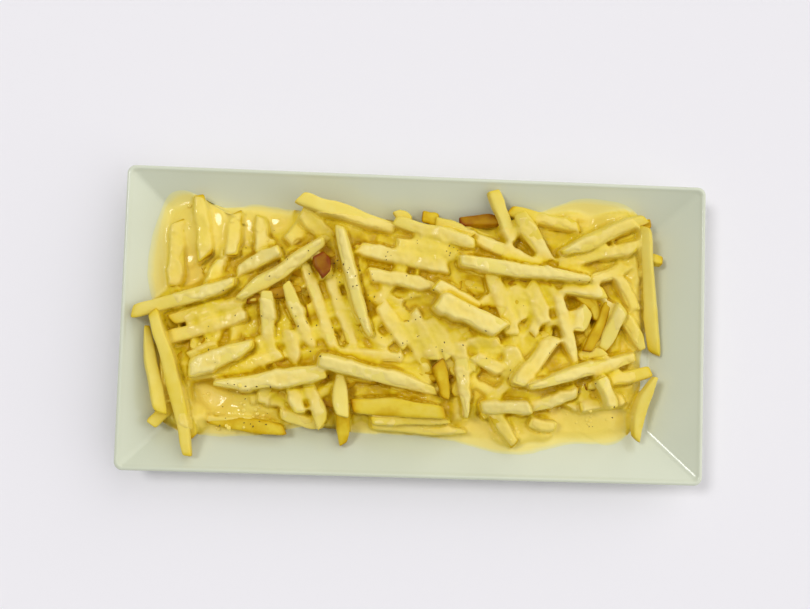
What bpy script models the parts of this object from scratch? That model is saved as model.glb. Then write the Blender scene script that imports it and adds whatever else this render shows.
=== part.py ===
"""Cheese fries heaped in a long rectangular porcelain dish.

Three solids: the dish, the pool of cheese sauce in it, and the heap of fries with its core.
The origin is on the table under the middle of the dish, +X along it, +Y across it, +Z up.
"""

import math

import bmesh
import bpy
import numpy as np

MM = 0.001
GAP = 0.3 * MM

# Dish: a long platter with four flat sloping sides that meet in mitres
DISH_LENGTH = 350 * MM
DISH_WIDTH = 181 * MM
RIM_HEIGHT = 26 * MM
FLOOR_HEIGHT = 9 * MM
SIDE_RUN = 30 * MM
LIP_WIDTH = 3.2 * MM
LIP_INNER_HEIGHT = 25 * MM
INNER_CORNER = 3 * MM
OUTER_CORNER = 5 * MM
FOOT_INSET = 29 * MM
FOOT_WIDTH = 6 * MM
RECESS_HEIGHT = 2.4 * MM
CORNER_STEPS = 4

SIDES = 72  # corners round the pool and round the core
WALK_STEPS = 16

# Cheese sauce: a shallow pool that climbs the sloping sides a little where it ran
SAUCE_CENTRE = (-9 * MM, 0.5 * MM)
SAUCE_HALF = (147 * MM, 66.5 * MM)
SAUCE_CORNER = 20 * MM
SAUCE_LEVEL = 14.2 * MM
SAUCE_EDGE = 1.3 * MM
SAUCE_RIPPLE = 0.25 * MM
SAUCE_WAVES = ((19, 23), (-41, 17))
SAUCE_RINGS = (0.3, 0.58, 0.8, 0.9, 0.935, 0.97, 1.0)
# Each lobe is where the edge runs out further: its place, its reach and its spread in millimetres
SAUCE_LOBES = (
    (-142, 70, 6, 11),
    (-160, 24, 4, 13),
    (-122, -68, 3, 16),
    (62, -70, 8, 24),
    (105, 72, 11, 24),
    (10, 68, -4, 22),
    (-60, -66, -4, 14),
)

# Heap: a low domed core that the fries lie on
CORE_CENTRE = (-7 * MM, 1 * MM)
CORE_HALF = (136 * MM, 57 * MM)
CORE_CORNER = 20 * MM
CORE_RINGS = (0.4, 0.7, 0.88, 1.0)
CORE_CLEAR = 0.6 * MM
CORE_EDGE = 1.5 * MM
CORE_RISE = 9.5 * MM

FRY_HEIGHT = 8.6 * MM
FRY_SINK = 2.0 * MM
FRY_END = 0.76
FRY_TAPER_FROM = 0.42
FRY_STATIONS = (-0.5, -FRY_TAPER_FROM, 0.0, FRY_TAPER_FROM, 0.5)
CLEAR_OF_DISH = 0.35 * MM
CLEAR_OF_SAUCE = 1.2 * MM
SAMPLE_STEP = 1.0 * MM
SAMPLES_ACROSS = 7
SLOPES_TRIED = 145
STEEPEST = 0.32
LEVELLING = 0.15
HOLD = 0.8 * MM

# The fries that show, from the lowest up: both ends in plan, the width, and how far the middle
# is bowed to the fry's left, in millimetres
FRIES_AT_THE_LEFT = (
    (-142, -22, -129, -70, 9, 0),
    (-155, -63, -143, -49, 9, 0),
    (-159, -5, -149, -56, 9, -1),
    (-145, 58, -145, 19, 11, 0),
    (-132, 74, -127, 36, 10, 0),
    (-110, 65, -111, 38, 10, 0),
    (-95, 63, -94, 39, 9, 0),
    (-134, -34, -78, -20, 9, 0),
    (-134, -23, -117, -15, 9, 0),
    (-133, -30, -96, -14, 12, -1),
    (-146, -1, -100, 12, 8, 0.5),
    (-150, -13, -101, 3, 9, 0),
    (-156, 3, -132, -81, 9, 2),
    (-118, 36, -124, 14, 10, 0),
    (-168, 3, -108, 22, 9, -0.5),
    (-108, 29, -82, 41, 9, 0),
    (-101, 13, -69, 20, 8, 0),
    (-89, 17, -88, -12, 9, 0),
)
FRIES_LEFT_OF_THE_MIDDLE = (
    (-122, -59, -76, -64, 9, 0),
    (-89, -32, -90, -49, 10, 0),
    (-79, -54, -53, -62, 8, -1),
    (-76, -33, -67, -54, 8, 0),
    (-65, -33, -54, -61, 9, 1),
    (-75, -5, -71, -24, 10, 0),
    (-118, -38, -53, -29, 11, -1.5),
    (-78, 22, -62, -15, 8, 0),
    (-43, 33, -34, -1, 8, 0),
    (-56, 34, -38, -13, 8, 0.5),
    (-68, 36, -49, -15, 8, 0),
    (-78, 47, -60, 67, 11, 0),
    (-70, 66, -52, 50, 12, 0),
    (-106, 12, -56, 48, 10, 0),
    (-72, 72, -14, 57, 10, 0),
    (-48, 57, -27, -7, 8, -1.5),
)
FRIES_IN_THE_MIDDLE = (
    (-25, -60, 32, -62, 7, 0),
    (-25, -57, 22, -57, 6, 0),
    (-37, -49, 18, -52, 11, 1),
    (-46, -16, -8, -20, 8, 0),
    (-42, -46, -41, -72, 9, 0),
    (-45, -28, -42, -55, 9, 0),
    (2, 67, 12, 65, 9, 0),
    (-14, 69, -5, 61, 9, 0),
    (25, 64, 50, 66, 9, 0),
    (-60, 40, -54, 28, 11, 0),
    (-36, 45, 18, 35, 10, 0),
    (-29, 30, 12, 23, 9, 0),
    (-22, 12, -6, -13, 11, 0),
    (-14, 49, 24, 44, 10, 0),
    (10, 63, 31, 54, 12, 0),
    (-15, 63, 33, 50, 9, 0),
    (-2, 9, 12, -20, 9, 0.5),
    (8, 5, 21, -18, 9, 0),
    (10, 25, 38, 12, 9, 0),
    (34, -17, 52, -26, 9, 0),
    (30, -8, 50, -7, 8, 0),
    (14, -21, 19, -43, 9, 0),
    (-57, -22, 13, -38, 10, 0),
    (26, -8, 31, -54, 9, 1),
    (12, 15, 50, -2, 13, 0),
    (44, 33, 57, -4, 10, 1),
)
FRIES_AT_THE_RIGHT = (
    (54, 71, 98, 63, 9, 0),
    (60, 70, 79, 42, 11, 0),
    (44, 83, 56, 52, 9, 0),
    (35, 54, 73, 39, 9, 0),
    (118, 50, 150, 45, 8, 0),
    (84, 41, 132, 52, 9, 0),
    (119, 57, 142, 67, 9, 0),
    (85, 46, 137, 70, 10, 0),
    (122, 33, 134, 14, 9, 0),
    (86, 24, 114, 24, 9, 0),
    (58, 27, 64, 5, 9, 0),
    (66, 27, 78, 4, 11, 0),
    (103, 14, 97, 0, 10, 0),
    (104, 31, 131, 41, 9, 0),
    (137, 64, 147, -12, 9, 0),
    (126, 12, 138, -10, 9, 0),
    (112, -10, 124, 15, 10, 0),
    (103, -12, 117, 19, 7, 0),
    (84, 21, 96, -20, 8, 0),
    (24, 39, 103, 30, 9, 0.5),
    (104, -33, 144, -23, 8, 0),
    (145, -26, 135, -64, 9, -3),
    (70, -55, 87, -57, 8, 0),
    (100, -46, 128, -40, 9, 0),
    (110, -28, 119, -46, 9, 0),
    (66, -47, 98, -37, 9, 0),
    (50, -52, 62, -69, 9, 0),
    (40, -47, 69, -47, 9, 0),
    (57, -10, 62, -35, 12, 0),
    (84, -4, 60, -33, 11, 0),
    (66, -34, 134, -14, 9, 0),
)


def clear_scene():
    for item in list(bpy.data.objects):
        bpy.data.objects.remove(item, do_unlink=True)


def finish(name, colour, roughness, metallic=0.0):
    """A Principled material of one colour, given as sRGB hex."""
    material = bpy.data.materials.new(name)
    material.use_nodes = True
    channels = [int(colour[i : i + 2], 16) / 255 for i in (1, 3, 5)]
    linear = [c / 12.92 if c <= 0.04045 else ((c + 0.055) / 1.055) ** 2.4 for c in channels]
    shader = material.node_tree.nodes["Principled BSDF"]
    shader.inputs["Base Color"].default_value = (*linear, 1.0)
    shader.inputs["Roughness"].default_value = roughness
    shader.inputs["Metallic"].default_value = metallic
    return material


def add_object(name, points, faces, material):
    mesh = bpy.data.meshes.new(name)
    mesh.from_pydata([tuple(point) for point in points], [], faces)
    mesh.validate()
    mesh.materials.append(material)
    item = bpy.data.objects.new(name, mesh)
    bpy.context.scene.collection.objects.link(item)
    return item


def shade(item, sharp_degrees):
    item.data.shade_smooth()
    item.data.set_sharp_from_angle(angle=math.radians(sharp_degrees))


def rounded_rectangle(half_x, half_y, radius, steps):
    """Corner arcs of steps + 1 points each, counterclockwise from the +X side."""
    points = []
    for quarter in range(4):
        turn = quarter * math.pi / 2
        sign_x = 1 if quarter in (0, 3) else -1
        sign_y = 1 if quarter in (0, 1) else -1
        for step in range(steps + 1):
            angle = turn + step / steps * math.pi / 2
            points.append(
                (
                    sign_x * (half_x - radius) + radius * math.cos(angle),
                    sign_y * (half_y - radius) + radius * math.sin(angle),
                )
            )
    return points


def loft(rings):
    """Points and faces of a closed shell through rings of equal count, both end rings capped."""
    count = len(rings[0])
    points = [point for ring in rings for point in ring]
    faces = [tuple(reversed(range(count)))]
    for row in range(len(rings) - 1):
        low = row * count
        high = low + count
        for i in range(count):
            j = (i + 1) % count
            faces.append((low + i, low + j, high + j, high + i))
    last = (len(rings) - 1) * count
    faces.append(tuple(range(last, last + count)))
    return points, faces


def make_dish(material):
    """Rounded rectangles at each inset and height of the section, from the recess over the rim to the floor."""
    section = (
        (FOOT_INSET + FOOT_WIDTH + 2 * MM, RECESS_HEIGHT, INNER_CORNER),
        (FOOT_INSET + FOOT_WIDTH, 0.4 * MM, INNER_CORNER),
        (FOOT_INSET + FOOT_WIDTH - 0.6 * MM, 0.0, INNER_CORNER),
        (FOOT_INSET + 0.8 * MM, 0.0, OUTER_CORNER),
        (FOOT_INSET, 0.7 * MM, OUTER_CORNER),
        (FOOT_INSET - 0.8 * MM, 3.4 * MM, OUTER_CORNER),
        (1.2 * MM, RIM_HEIGHT - 3.6 * MM, OUTER_CORNER),
        (0.2 * MM, RIM_HEIGHT - 2.4 * MM, OUTER_CORNER),
        (0.0, RIM_HEIGHT - 1.2 * MM, OUTER_CORNER),
        (0.5 * MM, RIM_HEIGHT - 0.3 * MM, OUTER_CORNER),
        (1.4 * MM, RIM_HEIGHT, OUTER_CORNER - 1 * MM),
        (2.4 * MM, RIM_HEIGHT - 0.3 * MM, INNER_CORNER),
        (LIP_WIDTH, LIP_INNER_HEIGHT, INNER_CORNER),
        (SIDE_RUN, FLOOR_HEIGHT, INNER_CORNER),
    )
    rings = []
    for inset, height, corner in section:
        ring = rounded_rectangle(DISH_LENGTH / 2 - inset, DISH_WIDTH / 2 - inset, corner, CORNER_STEPS)
        rings.append([(x, y, height) for x, y in ring])
    item = add_object("dish", *loft(rings), material)
    shade(item, 25)
    return item


def dish_surface(x, y):
    """Height of the dish's inner face, from the inset of the rounded rectangle through a point."""
    from_end = DISH_LENGTH / 2 - np.abs(x)
    from_side = DISH_WIDTH / 2 - np.abs(y)
    middle = (from_end + from_side) / 2
    apart = np.abs(from_end - from_side) / 2
    root = np.sqrt(np.maximum(INNER_CORNER**2 / 2 - apart**2, 0))
    inset = np.where(apart < INNER_CORNER / 2, middle - INNER_CORNER + root, middle - apart)
    slope = (LIP_INNER_HEIGHT - FLOOR_HEIGHT) / (SIDE_RUN - LIP_WIDTH)
    return FLOOR_HEIGHT + slope * np.maximum(SIDE_RUN - inset, 0)


def even_walk(half_x, half_y, radius, count):
    """Points at equal steps round a rounded rectangle."""
    fine = rounded_rectangle(half_x, half_y, radius, WALK_STEPS)
    walk = np.array(fine + fine[:1])
    reached = np.concatenate([[0], np.cumsum(np.hypot(*np.diff(walk, axis=0).T))])
    places = np.arange(count) / count * reached[-1]
    return np.interp(places, reached, walk[:, 0]), np.interp(places, reached, walk[:, 1])


def sauce_outline():
    """A rounded rectangle with each point pushed along its normal by the lobes near it."""
    x, y = even_walk(*SAUCE_HALF, SAUCE_CORNER, SIDES)
    out_x = x - np.clip(x, SAUCE_CORNER - SAUCE_HALF[0], SAUCE_HALF[0] - SAUCE_CORNER)
    out_y = y - np.clip(y, SAUCE_CORNER - SAUCE_HALF[1], SAUCE_HALF[1] - SAUCE_CORNER)
    out = np.hypot(out_x, out_y)
    x = x + SAUCE_CENTRE[0]
    y = y + SAUCE_CENTRE[1]
    push = np.zeros(SIDES)
    for place_x, place_y, reach, spread in SAUCE_LOBES:
        away = np.hypot(x - place_x * MM, y - place_y * MM)
        push += reach * MM * np.exp(-((away / (spread * MM)) ** 2) / 2)
    return x + out_x / out * push, y + out_y / out * push


def sauce_surface(x, y):
    """The level with slow ripples, or a film on the sloping side where that is higher."""
    ripple = sum(np.sin(x / (along * MM) + y / (across * MM)) for along, across in SAUCE_WAVES)
    return np.maximum(SAUCE_LEVEL + SAUCE_RIPPLE * ripple, dish_surface(x, y) + GAP + SAUCE_EDGE)


def over_sauce(x, y):
    """Whether points lie within the outline and a margin, by its reach from the centre at each bearing."""
    edge_x, edge_y = sauce_outline()
    centre_x, centre_y = SAUCE_CENTRE
    bearing = np.arctan2(edge_y - centre_y, edge_x - centre_x)
    reach = np.hypot(edge_x - centre_x, edge_y - centre_y)
    here = np.interp(np.arctan2(y - centre_y, x - centre_x), bearing, reach, period=2 * math.pi)
    return np.hypot(x - centre_x, y - centre_y) < here + 2 * MM


def slab(edge_x, edge_y, centre, fractions, upper, lower, material, name):
    """A closed slab between two heights, over a fan of copies of its outline drawn in to the centre."""
    x = np.concatenate([[centre[0]]] + [centre[0] + f * (edge_x - centre[0]) for f in fractions])
    y = np.concatenate([[centre[1]]] + [centre[1] + f * (edge_y - centre[1]) for f in fractions])
    count = len(x)
    points = np.concatenate([np.stack([x, y, lower(x, y)], 1), np.stack([x, y, upper(x, y)], 1)])
    faces = []
    for i in range(SIDES):
        j = (i + 1) % SIDES
        faces.append((count, count + 1 + i, count + 1 + j))
        faces.append((0, 1 + j, 1 + i))
        for ring in range(len(fractions) - 1):
            a = 1 + ring * SIDES + i
            b = 1 + ring * SIDES + j
            c = b + SIDES
            d = a + SIDES
            faces.append((count + a, count + d, count + c))
            faces.append((count + a, count + c, count + b))
            faces.append((a, c, d))
            faces.append((a, b, c))
        a = 1 + (len(fractions) - 1) * SIDES + i
        b = 1 + (len(fractions) - 1) * SIDES + j
        faces.append((a, b, count + b, count + a))
    return add_object(name, points, faces, material)


def make_sauce(material):
    item = slab(
        *sauce_outline(),
        SAUCE_CENTRE,
        SAUCE_RINGS,
        sauce_surface,
        lambda x, y: dish_surface(x, y) + GAP,
        material,
        "cheese_sauce",
    )
    shade(item, 50)
    return item


def core_inside(x, y):
    """One at the core's centre, falling by the fourth power to nothing at its oval edge."""
    across_x = (x - CORE_CENTRE[0]) / CORE_HALF[0]
    across_y = (y - CORE_CENTRE[1]) / CORE_HALF[1]
    return np.clip(1 - across_x**4 - across_y**4, 0, 1)


def core_surface(x, y):
    """A flat-topped dome over the sauce."""
    return sauce_surface(x, y) + CORE_CLEAR + CORE_EDGE + CORE_RISE * np.sqrt(core_inside(x, y))


def make_core(material):
    edge_x, edge_y = even_walk(*CORE_HALF, CORE_CORNER, SIDES)
    return slab(
        edge_x + CORE_CENTRE[0],
        edge_y + CORE_CENTRE[1],
        CORE_CENTRE,
        CORE_RINGS,
        core_surface,
        lambda x, y: sauce_surface(x, y) + CORE_CLEAR,
        material,
        "fries",
    )


class Pile:
    """The height of what already lies in the dish, on a square grid, for the next fry to rest on."""

    def __init__(self):
        self.half_x = DISH_LENGTH / 2
        self.half_y = DISH_WIDTH / 2
        self.grid_x = np.arange(-self.half_x, self.half_x + SAMPLE_STEP, SAMPLE_STEP)
        self.grid_y = np.arange(-self.half_y, self.half_y + SAMPLE_STEP, SAMPLE_STEP)
        x, y = np.meshgrid(self.grid_x, self.grid_y, indexing="ij")
        self.soft = np.where(core_inside(x, y) > 0.1, core_surface(x, y), 0.0)

    def under(self, x, y):
        i = np.clip(np.rint((x + self.half_x) / SAMPLE_STEP).astype(int), 0, len(self.grid_x) - 1)
        j = np.clip(np.rint((y + self.half_y) / SAMPLE_STEP).astype(int), 0, len(self.grid_y) - 1)
        return i, j, self.soft[i, j]

    def settle(self, start, end, width, bow):
        """Rest a fry on what it crosses, by the line that is lowest at mid length and not too steep.

        The line clears dish and sauce and sinks a little into the rest, so that the fries fuse.
        """
        run = end - start
        length = np.hypot(*run)
        along = np.linspace(-length / 2, length / 2, int(length / SAMPLE_STEP) + 1)
        across = np.linspace(-width / 2, width / 2, SAMPLES_ACROSS)
        s, t = np.meshgrid(along, across, indexing="ij")
        middle = (start + end) / 2
        aside = t + bow * (1 - 4 * (s / length) ** 2)
        x = middle[0] + s * run[0] / length - aside * run[1] / length
        y = middle[1] + s * run[1] / length + aside * run[0] / length
        i, j, soft = self.under(x, y)
        held = (np.abs(s) < length / 2 - HOLD) & (np.abs(t) < width / 2 - HOLD)
        soft = np.where(held, soft, 0.0)
        trim = end_trim(s / length)
        sauce = np.where(over_sauce(x, y), sauce_surface(x, y) + CLEAR_OF_SAUCE, 0.0)
        hard = np.maximum(dish_surface(x, y) + CLEAR_OF_DISH, sauce)
        need = (np.maximum(hard, soft - FRY_SINK) - trim).max(axis=1)
        slopes = np.linspace(-STEEPEST, STEEPEST, SLOPES_TRIED)
        lifts = (need[None, :] - slopes[:, None] * along[None, :]).max(axis=1)
        best = int(np.argmin(lifts + LEVELLING * np.abs(slopes) * length / 2))
        top = lifts[best] + slopes[best] * s + FRY_HEIGHT - trim
        np.maximum.at(self.soft, (i[held], j[held]), top[held])
        return lifts[best], slopes[best]


def end_trim(station):
    """How far the upper and lower faces draw in towards a fry's blunt ends."""
    past = np.clip((np.abs(station) - FRY_TAPER_FROM) / (0.5 - FRY_TAPER_FROM), 0, 1)
    return past * FRY_HEIGHT * (1 - FRY_END) / 2


def fry_mesh(start, end, width, bow, lift, slope):
    """A four-sided bar with blunt, narrower ends, its middle bowed to one side."""
    run = end - start
    length = np.hypot(*run)
    forward = run / length
    side = np.array([-forward[1], forward[0]])
    middle = (start + end) / 2
    rings = []
    for station in FRY_STATIONS:
        size = FRY_END if abs(station) == 0.5 else 1.0
        plan = middle + forward * station * length + side * bow * (1 - 4 * station**2)
        low = lift + slope * station * length
        trim = float(end_trim(station))
        ring = []
        for u, v in ((-1, 0), (1, 0), (1, 1), (-1, 1)):
            place = plan + side * u * width / 2 * size
            ring.append((place[0], place[1], low + trim + v * (FRY_HEIGHT - 2 * trim)))
        rings.append(ring)
    return loft(rings)


def keep_main_body(item):
    """Keep the shell of the largest volume, which drops loose scraps and the walls of sealed hollows."""
    shell = bmesh.new()
    shell.from_mesh(item.data)
    bmesh.ops.triangulate(shell, faces=shell.faces[:])
    left = set(shell.faces)
    bodies = []
    while left:
        first = left.pop()
        body = [first]
        stack = [first]
        while stack:
            for edge in stack.pop().edges:
                for face in edge.link_faces:
                    if face in left:
                        left.discard(face)
                        body.append(face)
                        stack.append(face)
        volume = 0.0
        for face in body:
            a, b, c = (corner.co for corner in face.verts)
            volume += a.dot(b.cross(c)) / 6
        bodies.append((volume, body))
    bodies.sort(key=lambda found: found[0], reverse=True)
    for _, body in bodies[1:]:
        bmesh.ops.delete(shell, geom=body, context="FACES")
    shell.to_mesh(item.data)
    shell.free()


def make_fries(material):
    """The core with every fry that shows fused on."""
    core = make_core(material)
    loose = bpy.data.collections.new("loose_fries")
    bpy.context.scene.collection.children.link(loose)
    pile = Pile()
    rows = FRIES_AT_THE_LEFT + FRIES_LEFT_OF_THE_MIDDLE + FRIES_IN_THE_MIDDLE + FRIES_AT_THE_RIGHT
    for row in rows:
        start = np.array(row[0:2]) * MM
        end = np.array(row[2:4]) * MM
        width, bow = row[4] * MM, row[5] * MM
        lift, slope = pile.settle(start, end, width, bow)
        fry = add_object("loose_fry", *fry_mesh(start, end, width, bow, lift, slope), material)
        bpy.context.scene.collection.objects.unlink(fry)
        loose.objects.link(fry)
    union = core.modifiers.new("union", "BOOLEAN")
    union.operation = "UNION"
    union.operand_type = "COLLECTION"
    union.collection = loose
    union.solver = "EXACT"
    graph = bpy.context.evaluated_depsgraph_get()
    fused = bpy.data.meshes.new_from_object(core.evaluated_get(graph))
    core.modifiers.clear()
    core.data = fused
    for fry in list(loose.objects):
        bpy.data.objects.remove(fry, do_unlink=True)
    bpy.data.collections.remove(loose)
    keep_main_body(core)
    shade(core, 30)
    return core


clear_scene()
make_dish(finish("glazed_porcelain", "#E4E6DC", 0.12))
make_sauce(finish("cheese_sauce", "#DDBC5E", 0.3))
make_fries(finish("fried_potato", "#E6CC66", 0.5))
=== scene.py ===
# %% [markdown]
# # Cheese fries in a long porcelain dish
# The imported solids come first. They are the fixed frame: every surface made below is laid
# where they are, in metres, with +X along the dish and +Z up.

# %% Load the frame
import math
from functools import partial

import bpy
import numpy as np
from mathutils import Matrix, Vector


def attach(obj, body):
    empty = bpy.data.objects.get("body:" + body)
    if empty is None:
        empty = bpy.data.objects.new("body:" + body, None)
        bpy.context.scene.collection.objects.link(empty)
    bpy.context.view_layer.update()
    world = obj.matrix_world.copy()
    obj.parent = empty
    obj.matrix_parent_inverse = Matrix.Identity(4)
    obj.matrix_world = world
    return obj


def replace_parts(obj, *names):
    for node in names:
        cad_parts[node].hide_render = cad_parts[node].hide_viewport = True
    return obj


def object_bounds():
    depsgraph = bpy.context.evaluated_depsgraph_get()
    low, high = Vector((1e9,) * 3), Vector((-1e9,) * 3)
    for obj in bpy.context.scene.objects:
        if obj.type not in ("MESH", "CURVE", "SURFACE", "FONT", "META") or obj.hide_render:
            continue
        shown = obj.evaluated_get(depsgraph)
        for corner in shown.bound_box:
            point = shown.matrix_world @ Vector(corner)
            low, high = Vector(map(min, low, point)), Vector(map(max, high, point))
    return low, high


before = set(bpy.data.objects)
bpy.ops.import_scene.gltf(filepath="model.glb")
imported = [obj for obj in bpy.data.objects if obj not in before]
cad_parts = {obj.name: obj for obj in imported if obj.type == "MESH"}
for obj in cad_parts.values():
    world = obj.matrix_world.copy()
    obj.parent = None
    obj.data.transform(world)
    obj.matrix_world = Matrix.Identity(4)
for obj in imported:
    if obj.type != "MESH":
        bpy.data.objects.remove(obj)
CAD_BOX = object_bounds()
MM = 0.001
print("nodes:", sorted(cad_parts))
print("box in mm:", [[round(v / MM, 1) for v in corner] for corner in CAD_BOX])

# %% [markdown]
# ## Small tools
# Every piece here is a surface worked out as whole arrays, so few tools are needed: one puts
# points and faces into a mesh, one closes rows of rings into shells, one gives the smooth noise
# of uneven food, and one adds a shader node with its settings and links.

# %% Mesh from arrays
def mesh_object(name, points, faces, material, slot, values=None):
    """An object at the origin from points (n, 3) and faces, with named values for each point."""
    mesh = bpy.data.meshes.new(name)
    mesh.from_pydata(points.tolist(), [], faces)
    mesh.materials.append(material)
    mesh.shade_smooth()
    for label, numbers in (values or {}).items():
        layer = mesh.attributes.new(label, "FLOAT", "POINT")
        layer.data.foreach_set("value", np.ascontiguousarray(numbers, np.float32))
    item = bpy.data.objects.new(name, mesh)
    bpy.context.scene.collection.objects.link(item)
    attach(item, "root")
    print(f"{name}: {len(points)} points, {len(faces)} faces")
    return item


def grid_faces(rows, columns, round_the_columns=False):
    """The quads (n, 4) between neighbours of a grid of points stored row by row."""
    last = columns if round_the_columns else columns - 1
    i, j = np.meshgrid(np.arange(rows - 1), np.arange(last), indexing="ij")
    after = (j + 1) % columns
    low, high = i * columns, (i + 1) * columns
    return np.stack([low + j, low + after, high + after, high + j], -1).reshape(-1, 4)


def closed_shells(shells):
    """Points and faces of shells given as (shells, rings, points round, 3).

    Each ring is joined to the next, and a flat cap closes the first ring and the last.
    """
    count, rings, around = shells.shape[:3]
    starts = np.arange(count)[:, None, None] * rings * around
    quads = grid_faces(rings, around, round_the_columns=True)[None] + starts
    corner = np.arange(around)
    caps = np.stack([corner[::-1], (rings - 1) * around + corner])[None] + starts
    faces = quads.reshape(-1, 4).tolist() + caps.reshape(-1, around).tolist()
    return shells.reshape(-1, 3), faces


# %% Smooth noise
LATTICE = np.random.default_rng(11).uniform(-1, 1, 8192)


def noise(x, y, cell, shift=0.0, z=0.0):
    """Value noise from -1 to 1: random numbers on a lattice of this cell, eased by 3t^2 - 2t^3."""
    places = [np.asarray(c / cell + shift) for c in (x, y, z)]
    low = [np.floor(p).astype(int) for p in places]
    ease = [(p - f) ** 2 * (3 - 2 * (p - f)) for p, f in zip(places, low)]
    total = 0.0
    for dx in (0, 1):
        for dy in (0, 1):
            for dz in (0, 1):
                index = ((low[0] + dx) * 73 + (low[1] + dy) * 1153 + (low[2] + dz) * 4021) % 8192
                weight = 1.0
                for t, d in zip(ease, (dx, dy, dz)):
                    weight = weight * (t if d else 1 - t)
                total = total + weight * LATTICE[index]
    return total


def smooth_step(low, high, value):
    """0 below low, 1 above high, 3t^2 - 2t^3 between."""
    t = np.clip((value - low) / (high - low), 0, 1)
    return t * t * (3 - 2 * t)


print("noise at 0, 1, 2 mm:", np.round(noise(np.arange(3) * MM, 0.0, 5 * MM), 3))


# %% Shader tools
def linear(colour):
    """Linear RGBA of an sRGB hex colour."""
    channels = [int(colour[i : i + 2], 16) / 255 for i in (1, 3, 5)]
    return (*[c / 12.92 if c <= 0.04045 else ((c + 0.055) / 1.055) ** 2.4 for c in channels], 1.0)


def add_node(tree, kind, sockets=None, stops=(), **properties):
    """Add a node: properties are its own settings, and stops a ramp's places and hex colours.

    Sockets hold values, or what feeds them: an output, or a node for its first output.
    """
    made = tree.nodes.new("ShaderNode" + kind)
    for name, value in properties.items():
        setattr(made, name, value)
    for name, value in (sockets or {}).items():
        if isinstance(value, bpy.types.Node):
            value = value.outputs[0]
        if isinstance(value, bpy.types.NodeSocket):
            tree.links.new(value, made.inputs[name])
        else:
            made.inputs[name].default_value = value
    if stops:
        marks = made.color_ramp.elements
        marks.remove(marks[1])
        marks[0].position, marks[0].color = stops[0][0], linear(stops[0][1])
        for place, colour in stops[1:]:
            marks.new(place).color = linear(colour)
    return made


def new_material(name):
    """A material with an empty node tree, and add_node for that tree."""
    material = bpy.data.materials.new(name)
    material.use_nodes = True
    material.node_tree.nodes.clear()
    return material, partial(add_node, material.node_tree)


print("mid grey is", round(linear("#808080")[0], 3), "in linear light")

# %% [markdown]
# ## The dish
# A hotel-ware platter: slip-cast porcelain with four flat sides that slope out to a thin rolled
# lip, all under one clear glaze. A lathe can't turn a rectangle, and a bevelled box has no foot.
# So a section is drawn as insets and heights and swept round a rounded rectangle, which gives the
# mitres, the lip and the foot ring at once.

# %% Dish sizes
DISH_LENGTH = 350 * MM
DISH_WIDTH = 181 * MM
RIM_HEIGHT = 26 * MM
FLOOR_HEIGHT = 9 * MM
SIDE_RUN = 30 * MM
LIP_WIDTH = 3.2 * MM
LIP_RADIUS = 1.5 * MM
LIP_INNER_HEIGHT = 25 * MM
INNER_CORNER = 3 * MM
OUTER_CORNER = 5 * MM
TOE_FILLET = 5 * MM
FOOT_INSET = 29 * MM
FOOT_WIDTH = 6 * MM
FOOT_INNER_RADIUS = 0.7 * MM
FOOT_OUTER_RADIUS = 0.9 * MM
RECESS_HEIGHT = 2.4 * MM
SIDE_SLOPE = (LIP_INNER_HEIGHT - FLOOR_HEIGHT) / (SIDE_RUN - LIP_WIDTH)
SIDE_TILT = math.degrees(math.atan(SIDE_SLOPE))
print("the sides rise at", round(SIDE_TILT, 1), "degrees")

# %% [markdown]
# The glaze is a film of glass over fired clay, so it has the IOR of glass and is nearly smooth.
# Its colour drifts a little over 60 mm, and slow waves 18 mm long break up its reflections.

# %% Porcelain
GLAZE_COLOURS = ((0.3, "#D3D8C1"), (0.7, "#D8DDC7"))


def glazed_porcelain():
    """Fired clay under a clear hard glaze: an even, pale grey-green white with sharp glints."""
    material, add = new_material("glazed_porcelain")
    place = add("TexCoord").outputs["Object"]
    cloud = add("TexNoise", {"Vector": place, "Scale": 1 / (60 * MM), "Detail": 2.0})
    waves = add("TexNoise", {"Vector": place, "Scale": 1 / (18 * MM), "Detail": 1.0})
    sockets = {
        "Base Color": add("ValToRGB", {"Fac": cloud}, stops=GLAZE_COLOURS),
        "Normal": add("Bump", {"Height": waves, "Strength": 0.12, "Distance": 0.3 * MM}),
        "Roughness": 0.16,
        "IOR": 1.5,
    }
    add("OutputMaterial", {"Surface": add("BsdfPrincipled", sockets)})
    return material


# %% Dish surface
CORNER_POINTS = 14


def rounded_ring(inset, height, corner):
    """Points round a rectangle drawn in by an inset, its corners arcs of the given radius."""
    quarter = np.repeat(np.arange(4), CORNER_POINTS)
    turn = np.tile(np.linspace(0, 1, CORNER_POINTS), 4)
    angle = (quarter + turn) * math.pi / 2
    sign_x = np.where((quarter == 0) | (quarter == 3), 1, -1)
    sign_y = np.where(quarter < 2, 1, -1)
    x = sign_x * (DISH_LENGTH / 2 - inset - corner) + corner * np.cos(angle)
    y = sign_y * (DISH_WIDTH / 2 - inset - corner) + corner * np.sin(angle)
    return np.stack([x, y, np.full_like(x, height)], -1)


def arc(inset, height, radius, start, stop, count):
    """Insets and heights along an arc of the section, angles in degrees from the inward side."""
    angle = np.radians(np.linspace(start, stop, count))
    return [(inset + radius * math.cos(a), height + radius * math.sin(a)) for a in angle]


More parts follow.
